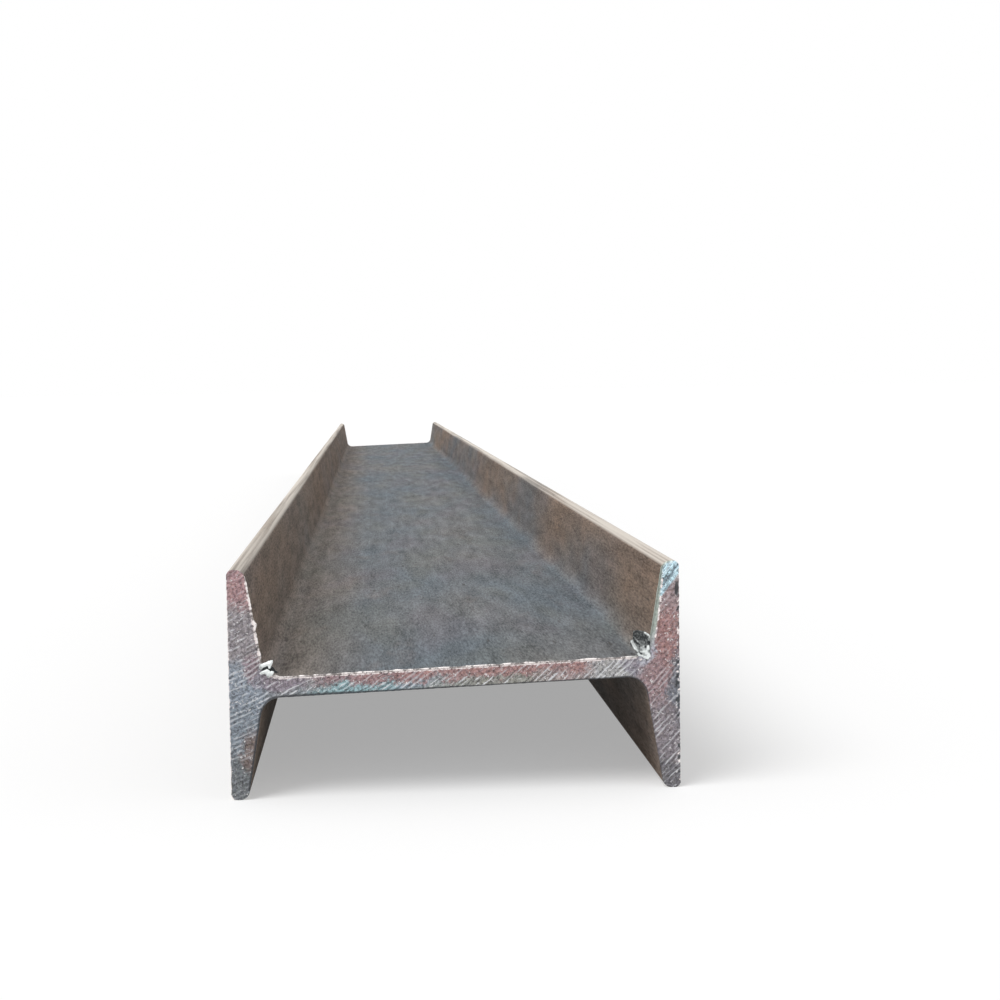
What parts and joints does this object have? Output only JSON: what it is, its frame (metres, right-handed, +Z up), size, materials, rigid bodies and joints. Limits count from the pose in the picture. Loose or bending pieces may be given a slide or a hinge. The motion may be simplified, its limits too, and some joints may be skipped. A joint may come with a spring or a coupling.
{
  "type": "steel i-beam",
  "caption": "Hot-rolled steel I-beam with tapered flanges and saw-cut ends, lying on its flange tips with its web level.",
  "frame": {"origin": "middle of the beam's length and of its section's depth, on the floor under the lower flange tips", "axes": "+X across the section's depth from one flange to the other, +Y along the beam away from the pictured end, +Z up"},
  "size_m": [0.2, 3, 0.102],
  "materials": {
    "rolled_steel": "hot-rolled mill scale with light rust, bare saw-cut ends"
  },
  "bodies": {
    "root": {"i_beam": "rolled_steel"}
  },
  "joints": []
}
